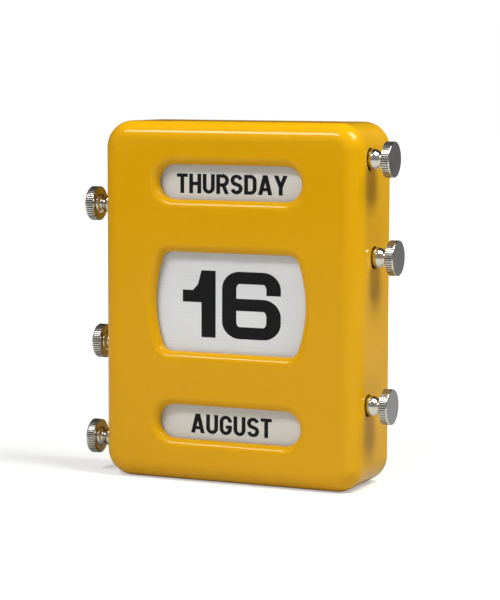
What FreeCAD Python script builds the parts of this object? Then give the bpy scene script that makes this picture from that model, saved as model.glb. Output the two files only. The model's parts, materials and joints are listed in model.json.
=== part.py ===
import FreeCAD, Part

import math
import os
import re

import Sketcher
from FreeCAD import Placement, Rotation, Vector

# A perpetual calendar in a pressed-metal case. Three printed bands, for day, date and month, each run
# over a bent plate behind a window, and are wound on an upper and a lower roller. The upper rollers
# are turned by knobs on the right side, the lower ones by knobs on the left.
# The origin is on the table, below the middle of the case. +X is to the right, +Y to the back.
# All sizes are in millimetres.

SIZES = {
    # case
    "case_width": 127.0,
    "case_height": 165.0,
    "case_depth": 39.0,
    "case_wall": 1.2,
    "case_corner_radius": 12.5,
    "front_edge_radius": 8.5,
    # windows: the strips' middles are set in from the case's top and bottom
    "strip_window_inset": 27.5,
    "window_land": 24.4,
    "date_rise": 0.3,
    "strip_window_width": 70.0,
    "strip_window_height": 15.7,
    "date_window_width": 74.2,
    "date_side_radius": 57.0,
    "date_corner_radius": 5.0,
    "lip_radius": 4.0,
    "lip_straight": 0.2,
    # rollers: depths are measured back from the front face
    "strip_roller_offset": 11.5,
    "date_roller_inset": 0.55,
    "strip_roller_depth": 13.75,
    "date_roller_depth": 20.0,
    "shaft_radius": 2.5,
    "shaft_stub": 1.5,
    "shaft_chamfer": 0.4,
    "core_radius": 5.0,
    "strip_flange_radius": 6.5,
    "date_flange_radius": 10.3,
    "flange_thickness": 1.2,
    "hub_radius": 4.0,
    "hub_length": 3.2,
    "end_float": 0.3,
    "running_gap": 0.05,
    "seat_gap": 0.1,
    # bands
    "band_width": 80.0,
    "band_thickness": 0.15,
    "band_side_gap": 0.5,
    "leader_length": 40.0,
    "strip_pitch": 22.0,
    "date_spacing": 0.5,
    "day_steps_left": 3.0,
    "day_steps_past": 3.0,
    "date_steps_left": 15.0,
    "date_steps_past": 15.0,
    "month_steps_left": 4.0,
    "month_steps_past": 7.0,
    # platens
    "platen_depth": 5.5,
    "platen_thickness": 0.8,
    "platen_edge_radius": 1.5,
    "platen_edge_straight": 0.2,
    "strip_platen_height": 21.0,
    "date_platen_overlap": 4.25,
    "strip_tab_offset": 5.0,
    "date_tab_inset": 12.0,
    "tab_height": 5.0,
    "tab_proud": 0.8,
    "slot_gap": 0.05,
    # bearing plates and bushes
    "plate_thickness": 1.6,
    "plate_front_depth": 3.0,
    "plate_margin": 4.0,
    "plate_corner_radius": 8.0,
    "ear_reach": 15.0,
    "ear_height": 12.0,
    "ear_corner_radius": 8.5,
    "bush_radius": 4.0,
    "bush_flange_radius": 5.0,
    "bush_flange_thickness": 0.8,
    "washer_thickness": 0.3,
    "washer_height": 0.9,
    # tie rods
    "rod_radius": 2.5,
    "rod_inset": 5.3,
    "rod_margin": 14.0,
    "rod_bore_depth": 8.0,
    "rod_screw_radius": 1.5,
    "rod_screw_length": 6.6,
    "rod_head_radius": 2.75,
    "rod_head_thickness": 1.8,
    # posts, back plate and its screws
    "post_radius": 3.0,
    "post_inset_x": 7.5,
    "post_inset_z": 7.9,
    "back_thickness": 1.2,
    "back_recess": 0.5,
    "back_edge_gap": 0.3,
    "back_screw_radius": 1.5,
    "back_screw_length": 9.0,
    "back_head_radius": 2.65,
    "back_head_thickness": 1.1,
    "slot_width": 0.6,
    "slot_depth": 0.5,
    # knobs: lengths are measured out from the case's side
    "knob_radius": 8.0,
    "knob_reach": 11.5,
    "knob_thickness": 4.0,
    "knob_rim": 0.7,
    "knob_chamfer": 0.4,
    "knurl_count": 48.0,
    "knurl_depth": 0.4,
    "neck_radius": 4.65,
    "neck_insertion": 6.0,
    "neck_straight": 2.6,
    "waist_radius": 3.2,
    "waist_reach": 5.4,
    "root_radius": 4.2,
    "waist_fillet": 2.2,
    "neck_fillet": 2.5,
    "side_hole_gap": 0.5,
    "thread_radius": 2.0,
    "thread_length": 9.0,
    "thread_relief": 0.5,
}

# Lengths that follow from the sizes above, each written as a formula of the sheet.
DERIVED = {
    "front_y": "-case_depth / 2",
    "middle_z": "case_height / 2",
    "day_rise": "case_height / 2 - strip_window_inset",
    "month_rise": "strip_window_inset - case_height / 2",
    "date_window_height": "2 * day_rise - strip_window_height - 2 * window_land",
    "date_roller_offset": "date_window_height / 2 - date_roller_inset",
    "date_pitch": "date_window_height + date_spacing",
    "date_platen_height": "date_window_height + 2 * date_platen_overlap",
    "date_tab_offset": "date_platen_height / 2 - date_tab_inset",
    "lip_depth": "lip_radius + lip_straight",
    "core_end": "band_width / 2 + band_side_gap + flange_thickness + hub_length",
    "plate_inner": "core_end + end_float + bush_flange_thickness",
    "plate_outer": "plate_inner + plate_thickness",
    "washer_end": "plate_inner - bush_flange_thickness - washer_height - seat_gap",
    "knob_seat": "case_width / 2 - neck_insertion",
    "back_inner": "case_depth / 2 - back_recess - back_thickness",
    "post_end": "back_inner - plate_thickness",
    "platen_y": "front_y + platen_depth",
    "post_x": "case_width / 2 - post_inset_x",
    "rod_y": "back_inner - rod_inset",
}

DAY, DATE, MONTH = "day", "date", "month"
WINDOWS = (DAY, DATE, MONTH)
FULL_TURN = 360.0

doc = FreeCAD.newDocument("perpetual_calendar")
sheet = doc.addObject("Spreadsheet::Sheet", "sizes")
nodes = []


def in_sheet(formula):
    """Write each size's name in a formula as a reference to the sheet."""
    known = set(SIZES) | set(DERIVED)
    return re.sub(r"[a-z_]+", lambda word: "sizes." + word[0] if word[0] in known else word[0], formula)


def fill_sheet():
    row = 0
    for name, value in SIZES.items():
        row += 1
        sheet.set("A%d" % row, name)
        sheet.set("B%d" % row, str(value))
        sheet.setAlias("B%d" % row, name)
    for name, formula in DERIVED.items():
        row += 1
        sheet.set("A%d" % row, name)
        local = re.sub(r"sizes\.", "", in_sheet(formula))
        sheet.set("B%d" % row, "=" + local)
        sheet.setAlias("B%d" % row, name)
    doc.recompute()


def value(formula):
    """The number that a formula of the sheet gives."""
    return float(sheet.evalExpression(re.sub(r"sizes\.", "", in_sheet(formula))))


def bind(item, **formulas):
    for path, formula in formulas.items():
        item.setExpression(path.replace("__", "."), in_sheet(formula))


def place(item, x="0", y="0", z="0", turn=0.0, about=Vector(0, 0, 1)):
    item.Placement = Placement(Vector(), Rotation(about, turn))
    for axis, formula in (("x", x), ("y", y), ("z", z)):
        item.setExpression("Placement.Base." + axis, in_sheet(formula))


def keep(item, name):
    """Name a finished sub-part; it becomes one node."""
    item.Label = name
    nodes.append(item)
    return item


# Sketches and features


def new_body(name):
    return doc.addObject("PartDesign::Body", name)


def new_sketch(body, plane, shift="0", up="0"):
    """A sketch on one of the body's own planes, shifted along its normal."""
    sketch = body.newObject("Sketcher::SketchObject", body.Name + "_sketch")
    origin_plane = [item for item in body.Origin.OriginFeatures if item.Role == plane][0]
    sketch.AttachmentSupport = [(origin_plane, "")]
    sketch.MapMode = "FlatFace"
    sketch.setExpression("AttachmentOffset.Base.z", in_sheet(shift))
    sketch.setExpression("AttachmentOffset.Base.y", in_sheet(up))
    return sketch


def bound(sketch, kind, *arguments):
    """Add a dimension to a sketch; its last argument is a formula of the sheet."""
    formula = arguments[-1]
    index = sketch.addConstraint(Sketcher.Constraint(kind, *arguments[:-1], value(formula)))
    sketch.setExpression("Constraints[%d]" % index, in_sheet(formula))


def fixed(sketch, kind, *arguments):
    sketch.addConstraint(Sketcher.Constraint(kind, *arguments))


def polygon(sketch, corners):
    """A closed outline of straight lines through corners given as pairs of formulas."""
    points = [Vector(value(across), value(up), 0) for across, up in corners]
    first = sketch.GeometryCount
    count = len(points)
    for index, point in enumerate(points):
        sketch.addGeometry(Part.LineSegment(point, points[(index + 1) % count]), False)
    for index in range(count):
        fixed(sketch, "Coincident", first + index, 2, first + (index + 1) % count, 1)
    for index, (across, up) in enumerate(corners):
        bound(sketch, "DistanceX", -1, 1, first + index, 1, across)
        bound(sketch, "DistanceY", -1, 1, first + index, 1, up)


def rectangle(sketch, width, height, across="0", up="0"):
    left, right = "%s - (%s) / 2" % (across, width), "%s + (%s) / 2" % (across, width)
    low, high = "%s - (%s) / 2" % (up, height), "%s + (%s) / 2" % (up, height)
    polygon(sketch, [(left, low), (right, low), (right, high), (left, high)])


def circle(sketch, radius, across="0", up="0"):
    centre = Vector(value(across), value(up), 0)
    index = sketch.addGeometry(Part.Circle(centre, Vector(0, 0, 1), value(radius)), False)
    bound(sketch, "Radius", index, radius)
    bound(sketch, "DistanceX", -1, 1, index, 3, across)
    bound(sketch, "DistanceY", -1, 1, index, 3, up)


def round_ended(sketch, width, height):
    """A window with straight top and bottom and fully round ends."""
    radius = "(%s) / 2" % height
    reach = "(%s) / 2 - (%s) / 2" % (width, height)
    r, half = value(radius), value(reach)
    axis = Vector(0, 0, 1)
    quarter = math.pi / 2
    top = sketch.addGeometry(Part.LineSegment(Vector(-half, r, 0), Vector(half, r, 0)), False)
    right = sketch.addGeometry(
        Part.ArcOfCircle(Part.Circle(Vector(half, 0, 0), axis, r), -quarter, quarter), False)
    low = sketch.addGeometry(Part.LineSegment(Vector(-half, -r, 0), Vector(half, -r, 0)), False)
    left = sketch.addGeometry(
        Part.ArcOfCircle(Part.Circle(Vector(-half, 0, 0), axis, r), quarter, 3 * quarter), False)
    fixed(sketch, "Tangent", top, 2, right, 2)
    fixed(sketch, "Tangent", right, 1, low, 2)
    fixed(sketch, "Tangent", low, 1, left, 2)
    fixed(sketch, "Tangent", left, 1, top, 1)
    fixed(sketch, "Equal", left, right)
    fixed(sketch, "PointOnObject", right, 3, -1)
    fixed(sketch, "PointOnObject", left, 3, -1)
    bound(sketch, "Radius", right, radius)
    bound(sketch, "DistanceX", -1, 1, right, 3, reach)
    bound(sketch, "DistanceX", left, 3, -1, 1, reach)


def bow_sided(sketch, width, height, side_radius):
    """A window with straight top and bottom and sides that bow outwards."""
    centre = "(%s) - (%s) / 2" % (side_radius, width)
    radius, shift, half = value(side_radius), value(centre), value(height) / 2
    swing = math.asin(half / radius)
    reach = radius * math.cos(swing) - shift
    axis = Vector(0, 0, 1)
    top = sketch.addGeometry(Part.LineSegment(Vector(-reach, half, 0), Vector(reach, half, 0)), False)
    right = sketch.addGeometry(
        Part.ArcOfCircle(Part.Circle(Vector(-shift, 0, 0), axis, radius), -swing, swing), False)
    low = sketch.addGeometry(Part.LineSegment(Vector(-reach, -half, 0), Vector(reach, -half, 0)), False)
    left = sketch.addGeometry(Part.ArcOfCircle(
        Part.Circle(Vector(shift, 0, 0), axis, radius), math.pi - swing, math.pi + swing), False)
    fixed(sketch, "Coincident", top, 2, right, 2)
    fixed(sketch, "Coincident", right, 1, low, 2)
    fixed(sketch, "Coincident", low, 1, left, 2)
    fixed(sketch, "Coincident", left, 1, top, 1)
    fixed(sketch, "Horizontal", top)
    fixed(sketch, "Horizontal", low)
    fixed(sketch, "PointOnObject", right, 3, -1)
    fixed(sketch, "PointOnObject", left, 3, -1)
    fixed(sketch, "Equal", left, right)
    bound(sketch, "Radius", right, side_radius)
    bound(sketch, "DistanceX", right, 3, -1, 1, centre)
    bound(sketch, "DistanceX", -1, 1, left, 3, centre)
    bound(sketch, "DistanceY", -1, 1, top, 1, "(%s) / 2" % height)
    bound(sketch, "DistanceY", low, 1, -1, 1, "(%s) / 2" % height)


def pad(body, sketch, length, reversed_way=False, both_ways=False):
    feature = body.newObject("PartDesign::Pad", body.Name + "_pad")
    feature.Profile = sketch
    bind(feature, Length=length)
    feature.Reversed = reversed_way
    if both_ways:
        feature.SideType = "Symmetric"
    doc.recompute()
    return feature


def pocket(body, sketch, length, reversed_way=False):
    """Cut a sketch into the body; a cut that removes nothing is an error."""
    before = body.Shape.Volume
    feature = body.newObject("PartDesign::Pocket", body.Name + "_pocket")
    feature.Profile = sketch
    bind(feature, Length=length)
    feature.Reversed = reversed_way
    doc.recompute()
    if body.Shape.Volume >= before:
        raise RuntimeError(body.Name + ": a pocket cuts nothing")
    return feature


def revolve(body, sketch):
    feature = body.newObject("PartDesign::Revolution", body.Name + "_turned")
    feature.Profile = sketch
    feature.ReferenceAxis = (sketch, ["H_Axis"])
    feature.Angle = FULL_TURN
    doc.recompute()
    return feature


def edges_where(shape, chosen):
    return ["Edge%d" % (index + 1) for index, edge in enumerate(shape.Edges) if chosen(edge.BoundBox)]


def dress(body, kind, prop, size, chosen):
    """Fillet or chamfer the edges whose bounding box passes a test."""
    base = body.Tip
    names = edges_where(base.Shape, chosen)
    if not names:
        raise RuntimeError(body.Name + ": no edge to round")
    feature = body.newObject("PartDesign::" + kind, body.Name + "_" + kind.lower())
    feature.Base = (base, names)
    bind(feature, **{prop: size})
    doc.recompute()
    return feature


def fillet(body, size, chosen):
    return dress(body, "Fillet", "Radius", size, chosen)


def chamfer(body, size, chosen):
    return dress(body, "Chamfer", "Size", size, chosen)


TOLERANCE = 0.01


def near(first, second):
    return abs(first - second) < TOLERANCE


def along_y(box):
    return near(box.XLength, 0) and near(box.ZLength, 0)


def along_x(box):
    return near(box.YLength, 0) and near(box.ZLength, 0)


def on_plane_y(box, formula):
    y = value(formula)
    return near(box.YMin, y) and near(box.YMax, y)


def group(name, items):
    """Separate solids that share one node."""
    compound = doc.addObject("Part::Compound", name)
    compound.Links = items
    doc.recompute()
    return keep(compound, name)


def turned(name, corners):
    """A body turned about its own X axis, from corners given as (along, radius)."""
    body = new_body(name)
    sketch = new_sketch(body, "XY_Plane")
    polygon(sketch, corners)
    revolve(body, sketch)
    return body


# Case


def window_size(window):
    if window == DATE:
        return "date_window_width", "date_window_height"
    return "strip_window_width", "strip_window_height"


def window_outline(sketch, window, grow="0"):
    width, height = ["%s + 2 * (%s)" % (size, grow) for size in window_size(window)]
    if window == DATE:
        bow_sided(sketch, width, height, "date_side_radius + (%s)" % grow)
    else:
        round_ended(sketch, width, height)


def window_centre(window):
    return "middle_z + %s_rise" % window


def near_window(box, window, margin):
    """Whether an edge lies on or just round a window."""
    width, height = [value(size) / 2 + margin for size in window_size(window)]
    middle = value(window_centre(window))
    inside_width = max(abs(box.XMin), abs(box.XMax)) < width
    return inside_width and middle - height < box.ZMin and box.ZMax < middle + height


def rounded_block(body, shift, width, height, length, corner, reversed_way=True):
    """A block along Y with rounded corners, centred on the case."""
    sketch = new_sketch(body, "XZ_Plane", shift, "middle_z")
    rectangle(sketch, width, height)
    pad(body, sketch, length, reversed_way)
    fillet(body, corner, along_y)


def make_cavity(name):
    """The space inside the case, as a solid."""
    body = new_body(name)
    rounded_block(body, "case_depth / 2 - case_wall", "case_width - 2 * case_wall",
                  "case_height - 2 * case_wall", "case_depth", "case_corner_radius - case_wall")
    fillet(body, "front_edge_radius - case_wall", lambda box: on_plane_y(box, "front_y + case_wall"))
    return body


def make_front_shell():
    body = new_body("front_shell")
    rounded_block(body, "case_depth / 2", "case_width", "case_height", "case_depth",
                  "case_corner_radius")
    fillet(body, "front_edge_radius", lambda box: on_plane_y(box, "front_y"))
    hollow = body.newObject("PartDesign::Boolean", "case_hollow")
    hollow.Type = "Cut"
    hollow.setObjects([make_cavity("shell_cavity")])
    body.Tip = hollow
    doc.recompute()
    for window in WINDOWS:
        add_window(body, window)
    for window in WINDOWS:
        for part in ("upper", "lower"):
            add_side_hole(body, window, part)
    return keep(body, "front_shell")


def add_window(body, window):
    """A window whose edge is rolled inwards, with the wall's own thickness all round the roll."""
    lip = new_sketch(body, "XZ_Plane", "case_depth / 2 - lip_depth", window_centre(window))
    window_outline(lip, window, "case_wall")
    pad(body, lip, "lip_depth - case_wall / 2")
    behind, edge = value("2 * case_wall"), value("case_wall / 2")
    if window == DATE:
        fillet(body, "date_corner_radius + case_wall", lambda box: along_y(box) and near_window(
            box, window, behind))
    fillet(body, "lip_radius - case_wall", lambda box: on_plane_y(
        box, "front_y + case_wall") and near_window(box, window, behind))
    opening = new_sketch(body, "XZ_Plane", "case_depth / 2", window_centre(window))
    window_outline(opening, window)
    pocket(body, opening, "lip_depth + case_wall")
    if window == DATE:
        fillet(body, "date_corner_radius", lambda box: along_y(box) and near_window(
            box, window, edge) and near(box.YMin, value("front_y")))
    fillet(body, "lip_radius", lambda box: on_plane_y(box, "front_y") and near_window(
        box, window, edge))


def add_side_hole(body, window, part):
    """The hole that a knob's neck enters: on the right for the upper roller, on the left for the lower."""
    y, z = roller_place(window, part)
    if part == "upper":
        sketch = new_sketch(body, "YZ_Plane", "case_width / 2")
    else:
        sketch = new_sketch(body, "YZ_Plane", "-case_width / 2")
    circle(sketch, "neck_radius + side_hole_gap", y, z)
    pocket(body, sketch, "2 * case_wall", part == "lower")


def make_corner_posts():
    cavity = make_cavity("post_cavity")
    posts = []
    for side in ("-", ""):
        for high in (False, True):
            z = "case_height - post_inset_z" if high else "post_inset_z"
            post = doc.addObject("Part::Cylinder", "post_blank")
            bind(post, Radius="post_radius", Height="post_end - front_y")
            place(post, side + "post_x", "post_end", z, 90, Vector(1, 0, 0))
            bore = doc.addObject("Part::Cylinder", "post_bore")
            bind(bore, Radius="back_screw_radius + running_gap",
                 Height="back_screw_length - plate_thickness")
            place(bore, side + "post_x", "post_end", z, 90, Vector(1, 0, 0))
            tapped = doc.addObject("Part::Cut", "post_tapped")
            tapped.Base = post
            tapped.Tool = bore
            fitted = doc.addObject("Part::Common", "corner_post")
            fitted.Base = tapped
            fitted.Tool = cavity
            posts.append(fitted)
    return group("corner_posts", posts)


# Back


def make_back_plate():
    body = new_body("back_plate")
    rounded_block(body, "-back_inner", "case_width - 2 * case_wall - 2 * back_edge_gap",
                  "case_height - 2 * case_wall - 2 * back_edge_gap", "back_thickness",
                  "case_corner_radius - case_wall - back_edge_gap")
    holes = new_sketch(body, "XZ_Plane", "-back_inner")
    for side in ("-", ""):
        for z in ("post_inset_z", "case_height - post_inset_z"):
            circle(holes, "back_screw_radius + seat_gap", side + "post_x", z)
    pocket(body, holes, "2 * back_thickness")
    hole = value("2 * back_screw_radius + 2 * seat_gap")
    chamfer(body, "back_head_thickness", lambda box: on_plane_y(
        box, "back_inner + back_thickness") and near(box.XLength, hole))
    return keep(body, "back_plate")


def make_back_screws():
    """Countersunk slotted screws, each modelled along +X from the middle of its head."""
    screws = []
    for side in ("-", ""):
        for z in ("post_inset_z", "case_height - post_inset_z"):
            screw = turned("back_screw", [
                ("0", "0"),
                ("0", "back_head_radius"),
                ("back_head_thickness", "back_screw_radius + running_gap"),
                ("back_head_thickness", "back_screw_radius"),
                ("back_screw_length - back_screw_radius / 2", "back_screw_radius"),
                ("back_screw_length", "back_screw_radius / 2"),
                ("back_screw_length", "0"),
            ])
            slot = new_sketch(screw, "YZ_Plane", "0")
            rectangle(slot, "slot_width", "3 * back_head_radius")
            pocket(screw, slot, "slot_depth", True)
            place(screw, side + "post_x", "back_inner + back_thickness", z, -90)
            screws.append(screw)
    return group("back_plate_screws", screws)


# Bearing plates, bushes and tie rods


def roller_place(window, part):
    """Where a roller's axis is: its Y and its Z."""
    family = "date" if window == DATE else "strip"
    sign = "+" if part == "upper" else "-"
    return ("front_y + %s_roller_depth" % family,
            "%s %s %s_roller_offset" % (window_centre(window), sign, family))


ROLLERS = [(window, part) for window in WINDOWS for part in ("upper", "lower")]
ROD_HEIGHTS = ("rod_margin", "middle_z", "case_height - rod_margin")


def make_right_bearing_plate():
    body = new_body("right_bearing_plate")
    outline = new_sketch(body, "YZ_Plane", "plate_inner")
    polygon(outline, [
        ("front_y + plate_front_depth", "plate_margin"),
        ("back_inner", "plate_margin"),
        ("back_inner", "case_height - plate_margin"),
        ("front_y + plate_front_depth", "case_height - plate_margin"),
    ])
    pad(body, outline, "plate_thickness")
    front = value("front_y + plate_front_depth")
    fillet(body, "plate_corner_radius", lambda box: along_x(box) and near(box.YMin, front))
    for z in ("plate_margin + ear_height / 2", "case_height - plate_margin - ear_height / 2"):
        ear = new_sketch(body, "XZ_Plane", "-post_end")
        rectangle(ear, "ear_reach", "ear_height", "plate_inner + ear_reach / 2", z)
        pad(body, ear, "plate_thickness", True)
    ends = [value("plate_margin"), value("case_height - plate_margin")]
    reach = value("plate_inner + ear_reach")
    fillet(body, "ear_corner_radius", lambda box: along_y(box) and near(box.XMin, reach) and any(
        near(box.ZMin, end) for end in ends))
    screw_holes = new_sketch(body, "XZ_Plane", "-post_end")
    for z in ("post_inset_z", "case_height - post_inset_z"):
        circle(screw_holes, "back_screw_radius + seat_gap", "post_x", z)
    pocket(body, screw_holes, "2 * plate_thickness")
    holes = new_sketch(body, "YZ_Plane", "plate_outer")
    for window, part in ROLLERS:
        y, z = roller_place(window, part)
        circle(holes, "bush_radius", y, z)
    for z in ROD_HEIGHTS:
        circle(holes, "rod_screw_radius + seat_gap", "rod_y", z)
    for window in WINDOWS:
        for z in tab_heights(window):
            rectangle(holes, "platen_thickness + 2 * slot_gap", "tab_height + 2 * slot_gap",
                      "platen_y + platen_thickness / 2", z)
    pocket(body, holes, "2 * plate_thickness")
    return keep(body, "right_bearing_plate")


def make_left_bearing_plate(right_plate):
    plate = doc.addObject("Part::Mirroring", "left_bearing_plate")
    plate.Source = right_plate
    plate.Normal = Vector(1, 0, 0)
    return keep(plate, "left_bearing_plate")


def make_shaft_bushes():
    """Flanged bushes with the flange on the plate's inner face, modelled along +X."""
    bushes = []
    for window, part in ROLLERS:
        y, z = roller_place(window, part)
        for side, turn in (("", 0), ("-", 180)):
            bush = turned("shaft_bush", [
                ("-bush_flange_thickness", "shaft_radius + running_gap"),
                ("-bush_flange_thickness", "bush_flange_radius"),
                ("0", "bush_flange_radius"),
                ("0", "bush_radius"),
                ("plate_thickness", "bush_radius"),
                ("plate_thickness", "shaft_radius + running_gap"),
            ])
            place(bush, side + "plate_inner", y, z, turn)
            bushes.append(bush)
    return group("shaft_bushes", bushes)


def make_drag_washers():
    """Dished spring washers, seated on the flange of the bush at each shaft's far end."""
    washers = []
    for window, part in ROLLERS:
        y, z = roller_place(window, part)
        side, turn = ("-", 0) if part == "upper" else ("", 180)
        washer = turned("drag_washer", [
            ("0", "bush_flange_radius - washer_thickness"),
            ("0", "bush_flange_radius"),
            ("washer_thickness", "bush_flange_radius"),
            ("washer_height", "shaft_radius + seat_gap + washer_thickness"),
            ("washer_height", "shaft_radius + seat_gap"),
            ("washer_height - washer_thickness", "shaft_radius + seat_gap"),
        ])
        place(washer, side + "(plate_inner - bush_flange_thickness)", y, z, turn)
        washers.append(washer)
    return group("drag_washers", washers)


def make_tie_rods():
    rods = []
    for z in ROD_HEIGHTS:
        rod = turned("tie_rod", [
            ("-plate_inner", "rod_screw_radius + running_gap"),
            ("-plate_inner", "rod_radius"),
            ("plate_inner", "rod_radius"),
            ("plate_inner", "rod_screw_radius + running_gap"),
            ("plate_inner - rod_bore_depth", "rod_screw_radius + running_gap"),
            ("plate_inner - rod_bore_depth", "0"),
            ("rod_bore_depth - plate_inner", "0"),
            ("rod_bore_depth - plate_inner", "rod_screw_radius + running_gap"),
        ])
        place(rod, "0", "rod_y", z)
        rods.append(rod)
    return group("tie_rods", rods)


def make_tie_rod_screws():
    """Flat-headed slotted screws, each modelled along +X from the top of its head."""
    screws = []
    for z in ROD_HEIGHTS:
        for side, turn in (("", 180), ("-", 0)):
            screw = turned("tie_rod_screw", [
                ("0", "0"),
                ("0", "rod_head_radius"),
                ("rod_head_thickness", "rod_head_radius"),
                ("rod_head_thickness", "rod_screw_radius"),
                ("rod_head_thickness + rod_screw_length", "rod_screw_radius"),
                ("rod_head_thickness + rod_screw_length", "0"),
            ])
            slot = new_sketch(screw, "YZ_Plane", "0")
            rectangle(slot, "slot_width", "3 * rod_head_radius")
            pocket(screw, slot, "slot_depth", True)
            place(screw, side + "(plate_outer + rod_head_thickness)", "rod_y", z, turn)
            screws.append(screw)
    return group("tie_rod_screws", screws)


# Platens


def platen_size(window):
    return "date_platen_height" if window == DATE else "strip_platen_height"


def tab_heights(window):
    offset = "date_tab_offset" if window == DATE else "strip_tab_offset"
    return ["%s %s %s" % (window_centre(window), sign, offset) for sign in ("+", "-")]


def make_platen(window):
    """A plate bent back along its top and bottom edges, with two tabs at each end."""
    body = new_body(window + "_platen")
    height = platen_size(window)
    middle = value(window_centre(window))
    depth = "platen_edge_radius + platen_edge_straight"
    block = new_sketch(body, "XZ_Plane", "-platen_y", window_centre(window))
    rectangle(block, "2 * plate_inner", height)
    pad(body, block, depth, True)
    half = value(height) / 2
    fillet(body, "platen_edge_radius", lambda box: along_x(box) and on_plane_y(box, "platen_y"))
    inside = new_sketch(body, "XZ_Plane", "-platen_y - platen_thickness", window_centre(window))
    rectangle(inside, "4 * plate_inner", height + " - 2 * platen_thickness")
    pocket(body, inside, depth)
    inner = half - value("platen_thickness")
    fillet(body, "platen_edge_radius - platen_thickness", lambda box: along_x(box) and on_plane_y(
        box, "platen_y + platen_thickness") and near(abs(box.ZMin - middle), inner))
    tabs = new_sketch(body, "XZ_Plane", "-platen_y")
    for z in tab_heights(window):
        rectangle(tabs, "2 * (plate_outer + tab_proud)", "tab_height", "0", z)
    pad(body, tabs, "platen_thickness", True)
    return keep(body, window + "_platen")


# Bands


def roll_radius(window, steps):
    """Radius of the band wound on a core: the turns fill a ring as long as the band is thick."""
    pitch = value("date_pitch" if window == DATE else "strip_pitch")
    length = value("%s_steps_%s" % (window, steps)) * pitch + value("leader_length")
    bore = value("core_radius + running_gap")
    return math.sqrt(bore ** 2 + value("band_thickness") * length / math.pi)


def touching_normal(edge, edge_radius, roll, radius, sign):
    """Direction from two round centres to the straight run that touches both on their outer side."""
    across = roll - edge
    lean = math.acos((edge_radius - radius) / across.Length)
    angle = math.atan2(across.z, across.y) + sign * lean
    return Vector(0, math.cos(angle), math.sin(angle))


def make_band(window):
    """One band: its front run over the platen, and its turns wound close on both cores."""
    thickness = value("band_thickness")
    width = value("band_width")
    left = Vector(-width / 2, 0, 0)
    middle = value(window_centre(window))
    bend = value("platen_edge_radius")
    inner = bend + value("running_gap")
    outer = inner + thickness
    rise = value(platen_size(window)) / 2 - bend
    wound = {"upper": roll_radius(window, "left"), "lower": roll_radius(window, "past")}
    ends = {}
    for part, sign in (("upper", 1), ("lower", -1)):
        y, z = [value(formula) for formula in roller_place(window, part)]
        roll = Vector(0, y, z)
        edge = Vector(0, value("platen_y") + bend, middle + sign * rise)
        normal = touching_normal(edge, outer, roll, wound[part], sign)
        ends[part] = (roll, edge, normal)

    def run(distance):
        """The run's side at a distance from the bends' centres, from the upper roll to the lower."""
        edges = []
        corners = []
        for part in ("upper", "lower"):
            roll, edge, normal = ends[part]
            at_roll = roll + normal * (wound[part] - outer + distance)
            leaving = edge + normal * distance
            facing = edge + Vector(0, -distance, 0)
            halfway = edge + (normal + Vector(0, -1, 0)).normalize() * distance
            edges.append((Part.LineSegment(at_roll, leaving), Part.Arc(leaving, halfway, facing)))
            corners.append((at_roll, facing))
        shapes = [curve.toShape() for pair in edges for curve in pair]
        shapes.append(Part.LineSegment(corners[0][1], corners[1][1]).toShape())
        return shapes, corners

    face_side, face_corners = run(outer)
    back_side, back_corners = run(inner)
    caps = [Part.LineSegment(face_corners[end][0], back_corners[end][0]).toShape() for end in (0, 1)]
    outline = Part.Wire(Part.__sortEdges__(face_side + back_side + caps))
    solid = Part.Face(outline).extrude(Vector(width, 0, 0))
    solid.translate(left)
    bore = value("core_radius + running_gap")
    axis = Vector(1, 0, 0)
    for part in ("upper", "lower"):
        roll = ends[part][0]
        turns = Part.makeCylinder(wound[part], width, roll + left, axis)
        solid = solid.fuse(turns)
    for part in ("upper", "lower"):
        roll = ends[part][0]
        solid = solid.cut(Part.makeCylinder(bore, width, roll + left, axis))
    band = doc.addObject("Part::Feature", window + "_band")
    band.Shape = solid.removeSplitter().Solids[0]
    band.Placement = Placement()
    return keep(band, window + "_band")


# Rollers


def make_core(window, part):
    """The tube that the band is wound on, with a flange at each end of the band, along +X."""
    flange = "date_flange_radius" if window == DATE else "strip_flange_radius"
    inside = "band_width / 2 + band_side_gap"
    outside = "band_width / 2 + band_side_gap + flange_thickness"
    core = turned("%s_%s_core" % (window, part), [
        ("-washer_end", "shaft_radius"),
        ("-washer_end", "hub_radius"),
        ("-(%s)" % outside, "hub_radius"),
        ("-(%s)" % outside, flange),
        ("-(%s)" % inside, flange),
        ("-(%s)" % inside, "core_radius"),
        (inside, "core_radius"),
        (inside, flange),
        (outside, flange),
        (outside, "hub_radius"),
        ("core_end", "hub_radius"),
        ("core_end", "shaft_radius"),
    ])
    return core


def make_shaft(window, part):
    far = "-plate_outer - shaft_stub"
    return turned("%s_%s_shaft" % (window, part), [
        (far, "0"),
        (far, "shaft_radius - shaft_chamfer"),
        (far + " + shaft_chamfer", "shaft_radius"),
        ("knob_seat", "shaft_radius"),
        ("knob_seat", "thread_radius"),
        ("knob_seat + thread_length", "thread_radius"),
        ("knob_seat + thread_length", "0"),
    ])


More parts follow.
